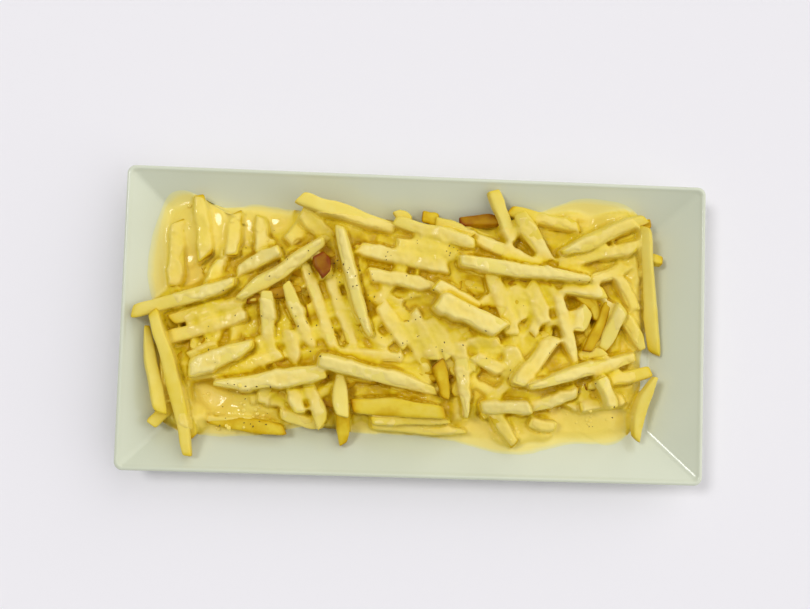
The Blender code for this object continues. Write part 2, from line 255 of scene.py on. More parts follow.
def dish_section():
    """Inset, height and corner radius, from the recess round the foot, up the outside, over the
    lip and down to the floor."""
    foot_in = FOOT_INSET + FOOT_WIDTH
    foot = [(foot_in + 2 * MM, RECESS_HEIGHT), (foot_in + 0.4 * MM, 1.2 * MM)]
    foot += arc(foot_in - FOOT_INNER_RADIUS, FOOT_INNER_RADIUS, FOOT_INNER_RADIUS, 0, -90, 4)
    foot += arc(FOOT_INSET + FOOT_OUTER_RADIUS, FOOT_OUTER_RADIUS, FOOT_OUTER_RADIUS, -90, -180, 5)
    outside = [(FOOT_INSET - 0.4 * MM, 2.4 * MM), (FOOT_INSET - 1.6 * MM, 4.3 * MM)]
    outside += [(1.6 * MM, 22.2 * MM), (0.7 * MM, 23.0 * MM), (0.15 * MM, 23.9 * MM)]
    lip = arc(LIP_RADIUS, RIM_HEIGHT - LIP_RADIUS, LIP_RADIUS, 180, 58, 8)
    bead = [(LIP_WIDTH - 0.2 * MM, LIP_INNER_HEIGHT + 0.05 * MM)]
    bead += [(LIP_WIDTH + 0.8 * MM, 24.4 * MM)]
    reach = TOE_FILLET * math.tan(math.radians(SIDE_TILT / 2))
    toe = arc(SIDE_RUN + reach, FLOOR_HEIGHT + TOE_FILLET, TOE_FILLET, 270 - SIDE_TILT, 270, 7)
    section = [(*place, OUTER_CORNER) for place in foot + outside + lip[:-2]]
    section += [(*place, INNER_CORNER + 0.8 * MM) for place in lip[-2:]]
    section += [(*place, INNER_CORNER) for place in bead + toe]
    return section


def make_dish():
    """The section's rings, joined and closed under the foot and over the floor."""
    rings = np.array([rounded_ring(*place) for place in dish_section()])
    points, faces = closed_shells(rings[None])
    dish = mesh_object("dish_glazed", points, faces, glazed_porcelain(), "glazed_porcelain")
    dish.data.set_sharp_from_angle(angle=math.radians(40))
    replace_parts(dish, "dish")


make_dish()

# %% [markdown]
# ## Where sauce and fries rest
# Everything in the heap rests on what is below it, so the heap is worked out as heights over the
# plan. First come the dish's inner face, the pool of sauce in it, and the low dome that carries
# the fries. These numbers are the solids' own, which keeps both in one place.

# %% Sizes of pool and core
SAUCE_CENTRE = (-9 * MM, 0.5 * MM)
SAUCE_HALF = (147 * MM, 66.5 * MM)
SAUCE_CORNER = 20 * MM
SAUCE_LEVEL = 14.2 * MM
SAUCE_EDGE = 1.3 * MM
SAUCE_RIPPLE = 0.25 * MM
SAUCE_WAVES = ((19, 23), (-41, 17))
# On the sloping side the film's skin is this and SAUCE_EDGE above the dish, as in the solids
SAUCE_GAP = 0.3 * MM
# Lobes of the outline, or dents where negative: place, reach and spread, in millimetres
SAUCE_LOBES = (
    (-142, 70, 6, 11), (-160, 24, 4, 13), (-122, -68, 3, 16), (62, -70, 8, 24),
    (105, 72, 11, 24), (10, 68, -4, 22), (-60, -66, -4, 14),
)
# The thin film runs out further than the solid pool here
FILM_LOBES = (
    (-146, 72, 7, 8), (-158, 44, 3, 18), (-95, 72, 4, 14), (-128, 76, 4, 6), (104, 76, 4, 20),
    (130, 66, 4, 8), (-98, -70, 2, 14), (60, -74, 2, 16), (122, -64, 2, 8), (140, 14, 6, 22),
    (138, -44, 3, 10),
)
CORE_CENTRE = (-7 * MM, 1 * MM)
CORE_HALF = (136 * MM, 57 * MM)
CORE_LIFT = 2.1 * MM
CORE_RISE = 9.5 * MM
# Fries rest on the core only where core_inside is more than this
CORE_SHOULDER = 0.1
print("the pool is", round((SAUCE_LEVEL - FLOOR_HEIGHT) / MM, 1), "mm deep")


# %% Heights of dish, pool and core
def dish_surface(x, y):
    """Height of the inner face, from the inset of the rounded rectangle through a point."""
    from_end = DISH_LENGTH / 2 - np.abs(x)
    from_side = DISH_WIDTH / 2 - np.abs(y)
    middle = (from_end + from_side) / 2
    apart = np.abs(from_end - from_side) / 2
    root = np.sqrt(np.maximum(INNER_CORNER**2 / 2 - apart**2, 0))
    inset = np.where(apart < INNER_CORNER / 2, middle - INNER_CORNER + root, middle - apart)
    return FLOOR_HEIGHT + SIDE_SLOPE * np.maximum(SIDE_RUN - inset, 0)


def sauce_surface(x, y):
    """The level with slow ripples, or a film on the sloping side where that is higher."""
    ripple = sum(np.sin(x / (along * MM) + y / (across * MM)) for along, across in SAUCE_WAVES)
    film = dish_surface(x, y) + SAUCE_GAP + SAUCE_EDGE
    return np.maximum(SAUCE_LEVEL + SAUCE_RIPPLE * ripple, film)


def core_inside(x, y):
    """One at the core's centre, falling by the fourth power to nothing at its oval edge."""
    across_x = (x - CORE_CENTRE[0]) / CORE_HALF[0]
    across_y = (y - CORE_CENTRE[1]) / CORE_HALF[1]
    return np.clip(1 - across_x**4 - across_y**4, 0, 1)


def core_surface(x, y):
    """A flat-topped dome over the sauce."""
    return sauce_surface(x, y) + CORE_LIFT + CORE_RISE * np.sqrt(core_inside(x, y))


print("the core's top is at", round(float(core_surface(*CORE_CENTRE)) / MM, 1), "mm")

# %% [markdown]
# Poured sauce runs out in lobes. The outline is a rounded rectangle that soft bumps push outwards,
# with fine noise on top. No lobe folds back over itself, so one distance for each bearing from
# the pool's centre holds it.

# %% Outline of the pool
OUTLINE_POINTS = 1441


def sauce_reach(bearing, lobes=SAUCE_LOBES):
    """Distance from the pool's centre to its edge at a bearing: a rounded rectangle with lobes."""
    fine = np.linspace(-math.pi, math.pi, OUTLINE_POINTS)
    cos, sin = np.cos(fine), np.sin(fine)
    far = 1 / np.maximum(np.abs(cos) / SAUCE_HALF[0], np.abs(sin) / SAUCE_HALF[1])
    px, py = far * cos, far * sin
    inner_x = np.clip(px, SAUCE_CORNER - SAUCE_HALF[0], SAUCE_HALF[0] - SAUCE_CORNER)
    inner_y = np.clip(py, SAUCE_CORNER - SAUCE_HALF[1], SAUCE_HALF[1] - SAUCE_CORNER)
    out = np.hypot(px - inner_x, py - inner_y)
    px = inner_x + (px - inner_x) / out * SAUCE_CORNER
    py = inner_y + (py - inner_y) / out * SAUCE_CORNER
    out_x, out_y = (px - inner_x) / SAUCE_CORNER, (py - inner_y) / SAUCE_CORNER
    px, py = px + SAUCE_CENTRE[0], py + SAUCE_CENTRE[1]
    push = 0.6 * MM * noise(px, py, 9 * MM) + 0.35 * MM * noise(px, py, 4 * MM, 5.5)
    for place_x, place_y, reach, spread in lobes:
        away = np.hypot(px - place_x * MM, py - place_y * MM)
        push = push + reach * MM * np.exp(-((away / (spread * MM)) ** 2) / 2)
    px = px + out_x * push - SAUCE_CENTRE[0]
    py = py + out_y * push - SAUCE_CENTRE[1]
    order = np.argsort(np.arctan2(py, px))
    return np.interp(
        bearing, np.arctan2(py, px)[order], np.hypot(px, py)[order], period=2 * math.pi
    )


print("reach towards +X:", round(float(sauce_reach(0.0)) / MM, 1), "mm")

# %% [markdown]
# ## Where each fry lies
# Each row is a fry that shows, from the lowest up: both ends in plan, its width, how far its
# middle is bowed to its left, all in millimetres, and how brown it is, from 0 for pale to 2 for
# toasted. Each was placed one by one, because a heap laid at random could never look like
# this one.

# %% The fries that show
FRIES_AT_THE_LEFT = (
    (-142, -22, -129, -70, 9, 0, 0.5),
    (-155, -63, -143, -49, 9, 0, 0.5),
    (-159, -5, -149, -56, 9, -1, 0.3),
    (-145, 58, -145, 19, 11, 0, 0.4),
    (-132, 74, -127, 36, 10, 0, 0.5),
    (-110, 65, -111, 38, 10, 0, 0.6),
    (-95, 63, -94, 39, 9, 0, 0.3),
    (-134, -34, -78, -20, 9, 0, 0.4),
    (-134, -23, -117, -15, 9, 0, 0.3),
    (-133, -30, -96, -14, 12, -1, 0.3),
    (-146, -1, -100, 12, 8, 0.5, 0.4),
    (-150, -13, -101, 3, 9, 0, 0.2),
    (-156, 3, -132, -81, 9, 2, 0.4),
    (-118, 36, -124, 14, 10, 0, 0.6),
    (-168, 3, -108, 22, 9, -0.5, 0.3),
    (-108, 29, -82, 41, 9, 0, 0.3),
    (-101, 13, -69, 20, 8, 0, 1.05),
    (-89, 17, -88, -12, 9, 0, 0.1),
)
FRIES_LEFT_OF_THE_MIDDLE = (
    (-122, -59, -76, -64, 9, 0, 0.8),
    (-89, -32, -90, -49, 10, 0, 0.2),
    (-79, -54, -53, -62, 8, -1, 0.2),
    (-76, -33, -67, -54, 8, 0, 0.2),
    (-65, -33, -54, -61, 9, 1, 0.3),
    (-75, -5, -71, -24, 10, 0, 0.2),
    (-118, -38, -53, -29, 11, -1.5, 0.3),
    (-78, 22, -62, -15, 8, 0, 0.2),
    (-43, 33, -34, -1, 8, 0, 0.4),
    (-56, 34, -38, -13, 8, 0.5, 0.5),
    (-68, 36, -49, -15, 8, 0, 0.1),
    (-78, 47, -60, 67, 11, 0, 0.2),
    (-70, 66, -52, 50, 12, 0, 0.2),
    (-106, 12, -56, 48, 10, 0, 0.2),
    (-72, 72, -14, 57, 10, 0, 0.2),
    (-48, 57, -27, -7, 8, -1.5, 0.1),
)
FRIES_IN_THE_MIDDLE = (
    (-25, -60, 32, -62, 7, 0, 0.2),
    (-25, -57, 22, -57, 6, 0, 0.4),
    (-37, -49, 18, -52, 11, 1, 0.8),
    (-46, -16, -8, -20, 8, 0, 0.1),
    (-42, -46, -41, -72, 9, 0, 0.85),
    (-45, -28, -42, -55, 9, 0, 0.1),
    (2, 67, 12, 65, 9, 0, 0.8),
    (-14, 69, -5, 61, 9, 0, 0.2),
    (25, 64, 50, 66, 9, 0, 1.5),
    (-60, 40, -54, 28, 11, 0, 1.9),
    (-36, 45, 18, 35, 10, 0, 0.3),
    (-29, 30, 12, 23, 9, 0, 0.2),
    (-22, 12, -6, -13, 11, 0, 0.2),
    (-14, 49, 24, 44, 10, 0, 0.3),
    (10, 63, 31, 54, 12, 0, 0.2),
    (-15, 63, 33, 50, 9, 0, 0.1),
    (-2, 9, 12, -20, 9, 0.5, 0.2),
    (8, 5, 21, -18, 9, 0, 0.2),
    (10, 25, 38, 12, 9, 0, 0.6),
    (34, -17, 52, -26, 9, 0, 0.3),
    (30, -8, 50, -7, 8, 0, 0.3),
    (14, -21, 19, -43, 9, 0, 1.15),
    (-57, -22, 13, -38, 10, 0, 0.2),
    (26, -8, 31, -54, 9, 1, 0.1),
    (12, 15, 50, -2, 13, 0, 0.1),
    (44, 33, 57, -4, 10, 1, 0.1),
)
FRIES_AT_THE_RIGHT = (
    (54, 71, 98, 63, 9, 0, 0.4),
    (60, 70, 79, 42, 11, 0, 0.4),
    (44, 83, 56, 52, 9, 0, 0.2),
    (35, 54, 73, 39, 9, 0, 0.1),
    (118, 50, 150, 45, 8, 0, 0.6),
    (84, 41, 132, 52, 9, 0, 0.3),
    (119, 57, 142, 67, 9, 0, 0.9),
    (85, 46, 137, 70, 10, 0, 0.3),
    (122, 33, 134, 14, 9, 0, 0.2),
    (86, 24, 114, 24, 9, 0, 0.5),
    (58, 27, 64, 5, 9, 0, 0.8),
    (66, 27, 78, 4, 11, 0, 0.2),
    (103, 14, 97, 0, 10, 0, 0.3),
    (104, 31, 131, 41, 9, 0, 0.2),
    (137, 64, 147, -12, 9, 0, 0.3),
    (126, 12, 138, -10, 9, 0, 0.2),
    (112, -10, 124, 15, 10, 0, 0.2),
    (103, -12, 117, 19, 7, 0, 1.1),
    (84, 21, 96, -20, 8, 0, 0.1),
    (24, 39, 103, 30, 9, 0.5, 0.0),
    (104, -33, 144, -23, 8, 0, 0.4),
    (145, -26, 135, -64, 9, -3, 0.4),
    (70, -55, 87, -57, 8, 0, 0.2),
    (100, -46, 128, -40, 9, 0, 0.3),
    (110, -28, 119, -46, 9, 0, 0.3),
    (66, -47, 98, -37, 9, 0, 0.2),
    (50, -52, 62, -69, 9, 0, 0.7),
    (40, -47, 69, -47, 9, 0, 0.1),
    (57, -10, 62, -35, 12, 0, 0.1),
    (84, -4, 60, -33, 11, 0, 0.1),
    (66, -34, 134, -14, 9, 0, 0.2),
)

# Ends that come to a point, by the place of the end
POINTED_ENDS = (
    (103, 30), (-118, -38), (31, -54), (96, -20), (-106, 12), (85, 46), (145, -26), (32, -62),
    (-109, 13), (12, 23), (-12, -39), (-27, -7), (66, -34), (-96, -14), (47, -10), (131, 41),
    (22, -57),
)

# %% [markdown]
# A fry is let down until it touches what it crosses, tilts to lie on it, and sinks in by 2 mm, as
# limp fries do. A rigid-body drop would scatter them, while this rule keeps each one where it
# belongs. The solids were laid by it too, so every fry lands at the same height here.

# %% Fry sizes for laying
FRY_HEIGHT = 8.6 * MM
FRY_SINK = 2.0 * MM
# A fry's ends are this share of its height, thinning from this station on
FRY_END = 0.76
FRY_TAPER_FROM = 0.42
CLEAR_OF_DISH = 0.35 * MM
CLEAR_OF_SAUCE = 1.2 * MM
# The pile is measured on a grid with this step, and each fry on this many lines along it
SAMPLE_STEP = 1.0 * MM
SAMPLES_ACROSS = 7
SLOPES_TRIED = 145
STEEPEST = 0.32
# A steeper slope has to pay for itself by this share of the rise
LEVELLING = 0.15
# The outermost part of a fry carries nothing
HOLD = 0.8 * MM


def end_trim(station):
    """How far a fry's faces draw in towards its blunt ends."""
    past = np.clip((np.abs(station) - FRY_TAPER_FROM) / (0.5 - FRY_TAPER_FROM), 0, 1)
    return past * FRY_HEIGHT * (1 - FRY_END) / 2


def over_sauce(x, y):
    """Whether points lie within the pool and a margin."""
    away_x, away_y = x - SAUCE_CENTRE[0], y - SAUCE_CENTRE[1]
    return np.hypot(away_x, away_y) < sauce_reach(np.arctan2(away_y, away_x)) + 2 * MM


# %% Laying the fries
class Pile:
    """The height of what already lies in the dish, on a square grid, for the next fry."""

    def __init__(self):
        self.half = np.array([DISH_LENGTH / 2, DISH_WIDTH / 2])
        axes = [np.arange(-h, h + SAMPLE_STEP, SAMPLE_STEP) for h in self.half]
        x, y = np.meshgrid(*axes, indexing="ij")
        self.soft = np.where(core_inside(x, y) > CORE_SHOULDER, core_surface(x, y), 0.0)

    def settle(self, start, end, width, bow):
        """The lift and slope of the line that is lowest at mid length and not too steep."""
        run = end - start
        length = np.hypot(*run)
        along = np.linspace(-length / 2, length / 2, int(length / SAMPLE_STEP) + 1)
        across = np.linspace(-width / 2, width / 2, SAMPLES_ACROSS)
        s, t = np.meshgrid(along, across, indexing="ij")
        middle = (start + end) / 2
        aside = t + bow * (1 - 4 * (s / length) ** 2)
        x = middle[0] + s * run[0] / length - aside * run[1] / length
        y = middle[1] + s * run[1] / length + aside * run[0] / length
        i, j = (
            np.clip(np.rint((place + half) / SAMPLE_STEP).astype(int), 0, count - 1)
            for place, half, count in zip((x, y), self.half, self.soft.shape)
        )
        held = (np.abs(s) < length / 2 - HOLD) & (np.abs(t) < width / 2 - HOLD)
        soft = np.where(held, self.soft[i, j], 0.0)
        trim = end_trim(s / length)
        sauce = np.where(over_sauce(x, y), sauce_surface(x, y) + CLEAR_OF_SAUCE, 0.0)
        hard = np.maximum(dish_surface(x, y) + CLEAR_OF_DISH, sauce)
        need = (np.maximum(hard, soft - FRY_SINK) - trim).max(axis=1)
        slopes = np.linspace(-STEEPEST, STEEPEST, SLOPES_TRIED)
        lifts = (need[None, :] - slopes[:, None] * along[None, :]).max(axis=1)
        best = int(np.argmin(lifts + LEVELLING * np.abs(slopes) * length / 2))
        top = lifts[best] + slopes[best] * s + FRY_HEIGHT - trim
        np.maximum.at(self.soft, (i[held], j[held]), top[held])
        return lifts[best], slopes[best]


def lay_fries():
    """Every fry that shows, as a dictionary of its line, its size and its browning."""
    pile = Pile()
    laid = []
    lower = FRIES_AT_THE_LEFT + FRIES_LEFT_OF_THE_MIDDLE
    for x0, y0, x1, y1, width, bow, brown in lower + FRIES_IN_THE_MIDDLE + FRIES_AT_THE_RIGHT:
        fry = {"start": np.array([x0, y0]) * MM, "end": np.array([x1, y1]) * MM, "brown": brown}
        fry["width"], fry["bow"] = width * MM, bow * MM
        fry["low"], fry["slope"] = pile.settle(fry["start"], fry["end"], fry["width"], fry["bow"])
        laid.append(fry)
    return laid


shown = lay_fries()
highest = max(fry["low"] for fry in shown) + FRY_HEIGHT
print(len(shown), "fries, highest", round(highest / MM, 1), "mm")

# %% [markdown]
# No two fries are cut alike. Three in ten narrow clearly to one end, and all have their own arch,
# roll and slanting cuts. The draws have fixed seeds, so the heap is the same at every run.

# %% Each fry's own shape
POINTED = 0.6


def vary(fries, seed, rolled):
    """Give each fry its own taper, swell, arch and roll, and ends cut aslant."""
    draw = np.random.default_rng(seed)
    for fry in fries:
        if draw.random() < 0.3:
            fry["taper"] = draw.uniform(0.2, 0.4) * draw.choice((-1, 1))
        else:
            fry["taper"] = draw.uniform(-0.12, 0.12)
        fry["swell"] = draw.uniform(0, 2 * math.pi)
        fry["arch"] = draw.uniform(-0.8, 0.3) * MM
        fry["roll"] = np.clip(draw.normal(0, rolled), -0.5, 0.5)
        fry["cut"] = draw.uniform(-0.6, 0.6, 2)
        ends = [tuple(int(round(c / MM)) for c in fry[label]) for label in ("start", "end")]
        fry["point"] = [POINTED if end in POINTED_ENDS else draw.uniform(0, 0.25) for end in ends]


vary(shown, 31, 0.22)
print("largest taper:", round(max(abs(fry["taper"]) for fry in shown), 2))

# %% [markdown]
# Between the fries that show, others lie deeper in the heap. The core is divided into boxes and
# each box gets one fry at random, so that no part stays empty. Their tops lie from 5.6 mm above
# the core's dome to 3.9 mm below it: each gap then shows potato at a depth of its own.

# %% The fries underneath
UNDER_COLUMNS = 24
UNDER_ROWS = 12
# How much of the core the boxes cover, in half sizes of the core
UNDER_COVER = 1.85
HIGHEST_TOP = 5.6 * MM
TOPS_RANGE = 9.5 * MM


def lay_under_fries():
    """One fry in each box, mostly along the dish, left out where it would pass the core's edge."""
    draw = np.random.default_rng(23)
    boxes = np.array([UNDER_COLUMNS, UNDER_ROWS])
    laid = []
    for column in range(UNDER_COLUMNS):
        for line in range(UNDER_ROWS):
            share = (np.array([column, line]) + draw.uniform(0.1, 0.9, 2)) / boxes
            middle = CORE_CENTRE + (share - 0.5) * UNDER_COVER * np.array(CORE_HALF)
            angle = draw.normal(0.1, 0.8)
            length = draw.uniform(16, 42) * MM
            half = np.array([math.cos(angle), math.sin(angle)]) * length / 2
            ends = np.array([middle - half, middle + half])
            if (core_inside(*ends.T) < CORE_SHOULDER).any():
                continue
            top = core_surface(*ends.T).min() + HIGHEST_TOP - draw.uniform(0, 1) * TOPS_RANGE
            fry = {"start": ends[0], "end": ends[1], "low": top - FRY_HEIGHT}
            fry["width"] = draw.uniform(6, 9) * MM
            fry["brown"] = draw.uniform(0.1, 1.0)
            fry["bow"] = draw.uniform(-1, 1) * MM
            fry["slope"] = draw.uniform(-0.12, 0.12)
            laid.append(fry)
    return laid


under = lay_under_fries()
vary(under, 41, 0.3)
print(len(under), "fries underneath")

# %% [markdown]
# ## A fry
# A fry is a square-cut stick of potato, fried until its corners round off and its skin wrinkles.
# Its section is a superellipse, which is a square with soft corners, carried along its line; a
# second superellipse along the length rounds off the blunt ends. A bevelled box would need many
# bevels and a bend for the same form, and couldn't be wrinkled point by point.

# %% Fry sizes
FRY_TALL = 7.9 * MM
# Wrinkled undersides stay this far above what a fry lies on
UNDER_ROOM = 0.2 * MM
FRY_SQUARENESS = 4.6
END_SQUARENESS = 10.0
END_LEFT = 0.5
WIDEST_SWELL = 1.1
WAVER = 0.9 * MM
WRINKLE_DEPTH = 0.6 * MM


# %% Line and size of a fry
def end_size(station):
    """Share of the full section left at a station from -0.5 to 0.5, by a superellipse."""
    full = (1 - np.clip(np.abs(2 * station), 0, 1) ** END_SQUARENESS) ** (1 / END_SQUARENESS)
    return np.maximum(full, END_LEFT)


def fry_size(fry, station):
    """Share of the full width at a station: a taper to one end, a slow sine, and the points."""
    width = 1 + fry["taper"] * 2 * station + 0.07 * np.sin(9 * station + fry["swell"])
    start, end = fry["point"]
    ends = start * smooth_step(-0.15, -0.55, station) + end * smooth_step(0.15, 0.55, station)
    return np.minimum(width, WIDEST_SWELL) * (1 - ends) * end_size(station)


def fry_middle_height(fry, station, length):
    """Height of a fry's centre line: its lift and slope, and an arch of 1 - 4 s^2."""
    straight = fry["low"] + FRY_TALL / 2 + UNDER_ROOM + fry["slope"] * station * length
    return straight + fry["arch"] * (1 - 4 * station**2)


def fry_lines(fry):
    """Length, forward and sideways directions in plan, and the middle, of a fry."""
    run = fry["end"] - fry["start"]
    length = np.hypot(*run)
    forward = run / length
    return length, forward, np.array([-forward[1], forward[0]]), (fry["start"] + fry["end"]) / 2


def waver(fry, station, length):
    """Small sideways bends along the line, from noise 14 mm long."""
    return WAVER * noise(station * length, 0.0, 14 * MM, fry["swell"] * 5)


def fry_section(fry, angle):
    """A superellipse (|cos|^(2/n), |sin|^(2/n)) with signs, rolled about its centre.

    A rolled square reaches further sideways than a level one, so it is drawn in by as much.
    """
    power = 2 / FRY_SQUARENESS
    across = np.sign(np.cos(angle)) * np.abs(np.cos(angle)) ** power * fry["width"] / 2
    up = np.sign(np.sin(angle)) * np.abs(np.sin(angle)) ** power * FRY_TALL / 2
    cos, sin = math.cos(fry["roll"]), math.sin(fry["roll"])
    keep = 1 / (cos + 0.55 * abs(sin))
    return keep * (across * cos - up * sin), keep * (across * sin + up * cos)


def slant(fry, station):
    """How far each end leans: the cut of that end, growing from nothing at 0.25 to all at 0.45."""
    cut = np.where(station < 0, fry["cut"][0], fry["cut"][1])
    return cut * smooth_step(0.25, 0.45, np.abs(station))


# %% Fry surface
FRY_RINGS = 26
FRY_ROUND = 24


def fry_surface(fry, number, rings, around):
    """Points (rings, around, 3) and browning of one fry.

    Station s = half the sine of an even step, section by fry_section, size by fry_size, plan line
    bowed by bow * (1 - 4 s^2), ends slanted, and wrinkles that only sink in.
    """
    length, forward, side, middle = fry_lines(fry)
    s = 0.5 * np.sin(np.linspace(-1, 1, rings) * math.pi / 2)[:, None]
    angle = (np.arange(around) + 0.5)[None, :] * 2 * math.pi / around
    across, up = fry_section(fry, angle)
    across = across * fry_size(fry, s)
    up = up * end_size(s)
    far = s * length + slant(fry, s) * across
    aside = across + fry["bow"] * (1 - 4 * s**2) + waver(fry, s, length)
    x = middle[0] + far * forward[0] + aside * side[0]
    y = middle[1] + far * forward[1] + aside * side[1]
    z = fry_middle_height(fry, s, length) + up
    key = number * 3.7
    dent = 0.5 * noise(far, across, 7 * MM, key, up) + 0.3 * noise(far, across, 2.6 * MM, key, up)
    sink = WRINKLE_DEPTH * (dent - 0.6)
    u, v = across / (fry["width"] / 2), up / (FRY_TALL / 2)
    x = x + sink * u * side[0]
    y = y + sink * u * side[1]
    z = z + sink * v
    brown = fry["brown"] + 0.6 * np.abs(2 * s) ** 12 + 0.3 * (np.abs(u * v) - 0.4) + 0.35 * dent
    return np.stack(np.broadcast_arrays(x, y, z), -1), np.broadcast_to(brown, x.shape)


first_fry, _ = fry_surface(shown[0], 0, FRY_RINGS, FRY_ROUND)
print("the first fry is", np.round(np.ptp(first_fry, axis=(0, 1)) / MM, 1), "mm")

# %% [markdown]
# ## The cheese sauce
# Warm cheese sauce is thick but it flows: it fills the dish, bridges the gaps between fries with
# smooth fillets, and clings to the tops as a film. A fluid simulation would need hours to settle
# so thick a sauce, while a ball rolled over the heap from above leaves just that surface: it
# can't get into a gap narrower than itself. Everything is worked out as heights on a square grid.

# %% Heights of the heap on a grid
CELL = 0.6 * MM
GRID_X = (-170, 150)
GRID_Y = (-84, 90)
SECTION_POINTS = 240
# Wrinkles sink in by about this much, so the sauce starts this far below a fry's full section
WRINKLE_ROOM = 0.3 * MM
axis_x = np.arange(*GRID_X, CELL / MM) * MM
axis_y = np.arange(*GRID_Y, CELL / MM) * MM
plan_x, plan_y = np.meshgrid(axis_x, axis_y, indexing="ij")


def fry_top(fry):
    """Height of one fry's upper face over the grid, by the upper arc of its section; 0 outside."""
    length, forward, side, middle = fry_lines(fry)
    away_x, away_y = plan_x - middle[0], plan_y - middle[1]
    s = (away_x * forward[0] + away_y * forward[1]) / length
    t = away_x * side[0] + away_y * side[1] - fry["bow"] * (1 - 4 * s**2) - waver(fry, s, length)
    s = s - slant(fry, s) * t / length
    section = fry_section(fry, np.arange(SECTION_POINTS) * 2 * math.pi / SECTION_POINTS)
    section_t, section_z = np.roll(section, SECTION_POINTS // 4, axis=1)
    far, near = np.argmax(section_t), np.argmin(section_t)
    arc_t, arc_z = section_t[far : near + 1][::-1], section_z[far : near + 1][::-1]
    t = t / np.maximum(fry_size(fry, np.clip(s, -0.5, 0.5)), 0.1)
    inside = (np.abs(s) < 0.5) & (t > arc_t[0]) & (t < arc_t[-1])
    top = fry_middle_height(fry, s, length) + np.interp(t, arc_t, arc_z) * end_size(s)
    return np.where(inside, top - WRINKLE_ROOM, 0.0)


heap = np.zeros_like(plan_x)
for fry in shown + under:
    heap = np.maximum(heap, fry_top(fry))
print("heap up to", round(heap.max() / MM, 1), "mm")


# %% Rolling a ball over the heap
def under_ball(field, radius):
    """The field moved by every offset under a ball, each with the ball's drop at that offset."""
    steps = int(radius / CELL)
    padded = np.pad(field, steps, mode="edge")
    rows, columns = field.shape
    for i in range(-steps, steps + 1):
        for j in range(-steps, steps + 1):
            if i * i + j * j <= steps * steps:
                view = padded[steps + i : steps + i + rows, steps + j : steps + j + columns]
                inside = max(radius**2 - (math.hypot(i, j) * CELL) ** 2, 0)
                yield view, radius - math.sqrt(inside)


def widen(height, radius):
    """The greatest under a ball of height less drop: things grow sideways, but not upwards."""
    raised = np.full_like(height, -1.0)
    for view, drop in under_ball(height, radius):
        np.maximum(raised, view - drop, out=raised)
    return raised


def roll_ball(height, radius):
    """Closing by a ball: widen, then the least under the ball of height plus drop."""
    closed = np.full_like(height, 1.0)
    for view, drop in under_ball(widen(height, radius), radius):
        np.minimum(closed, view + drop, out=closed)
    return closed


# %% Smoothing a field, and reading it between its cells
def blur(field, sigma):
    """Gaussian blur, along one axis and then the other."""
    steps = int(3 * sigma / CELL) + 1
    weights = np.exp(-((np.arange(-steps, steps + 1) * CELL / sigma) ** 2) / 2)
    weights /= weights.sum()
    for axis in (0, 1):
        width = [(0, 0), (0, 0)]
        width[axis] = (steps, steps)
        padded = np.pad(field, width, mode="edge")
        count = field.shape[axis]
        taps = enumerate(weights)
        field = sum(w * np.take(padded, np.arange(k, k + count), axis) for k, w in taps)
    return field


def sample(field, x, y):
    """The field between grid points, by the four around each place."""
    i = np.clip((x - axis_x[0]) / CELL, 0, len(axis_x) - 1.001)
    j = np.clip((y - axis_y[0]) / CELL, 0, len(axis_y) - 1.001)
    i0, j0 = i.astype(int), j.astype(int)
    fi, fj = i - i0, j - j0
    low = field[i0, j0] * (1 - fj) + field[i0, j0 + 1] * fj
    high = field[i0 + 1, j0] * (1 - fj) + field[i0 + 1, j0 + 1] * fj
    return low * (1 - fi) + high * fi


print("grid of", plan_x.shape, "cells of", CELL / MM, "mm")

# %% [markdown]
# Sauce was poured by hand, so it isn't spread evenly. The tables say where it lies deep, where it
# stands higher than the pool because fries hold it in, where it hardly ran in, and which fries it
# missed. All are soft ovals, summed up over the grid, so that no border shows between them.

# %% Where there is much sauce, and little
# Where the sauce lies deep: place, half widths along and across, in millimetres, and how much
DEEP_SAUCE = (
    (-125, 58, 30, 18, 1.0), (-106, -52, 18, 10, 1.0), (-72, 58, 10, 10, 0.5),
    (0, 46, 22, 8, 0.5), (8, -30, 12, 12, 0.3), (112, -54, 22, 8, 0.9), (66, -66, 34, 8, 1.0),
    (104, 72, 26, 8, 1.0), (60, -24, 14, 12, 0.4), (106, 36, 20, 8, 0.4), (134, 20, 6, 40, 0.8),
    (-128, -56, 8, 14, 0.8), (-148, -38, 6, 20, 0.6),
)
# Where it stands above the level of the pool, among the fries: place, half widths and rise
HELD_SAUCE = (
    (-125, 54, 28, 20, 9.0), (-104, -52, 20, 12, 3.0), (-149, -38, 6, 20, 4.0),
    (112, -50, 22, 8, 2.0), (110, 55, 24, 12, 3.0),
)
# Dark gaps between fries where little sauce ran in: place, radius and depth in millimetres
PITS = (
    (-56, 40, 4, 5), (-78, 27, 4, 4), (-84, 15, 4, 4), (-65, 8, 3, 4), (-49, 5, 3, 4),
    (-80, -2, 3, 4), (-80, -38, 4, 4), (-50, -33, 4, 4), (-50, -52, 4, 5), (-34, -31, 5, 4),
    (-38, -40, 4, 4), (-20, -22, 4, 3), (20, -47, 4, 4), (57, 29, 4, 4), (81, 5, 3, 4),
    (95, 20, 4, 4), (107, 18, 3, 4), (115, 27, 4, 4), (104, -14, 4, 4), (112, -25, 4, 4),
    (88, -33, 4, 4), (85, -47, 4, 3), (132, -16, 4, 4), (34, 1, 5, 4),
)
# Fries with little sauce on them: place, half widths and how bare
BARE = (
    (-57, 35, 6, 8, 3), (38, 65, 16, 5, 3), (17, -32, 5, 11, 2.5), (110, 4, 7, 14, 2),
    (-8, -51, 28, 6, 1.2), (-41, -68, 6, 8, 2), (-100, -62, 26, 5, 1.4),
    (-148, -40, 12, 40, 1.2), (-160, 6, 10, 6, 1.5), (142, 26, 8, 40, 1.5),
    (140, -46, 8, 20, 2), (-85, 17, 18, 4, 1.5), (80, 58, 20, 4, 0.6), (144, 46, 10, 6, 2),
)


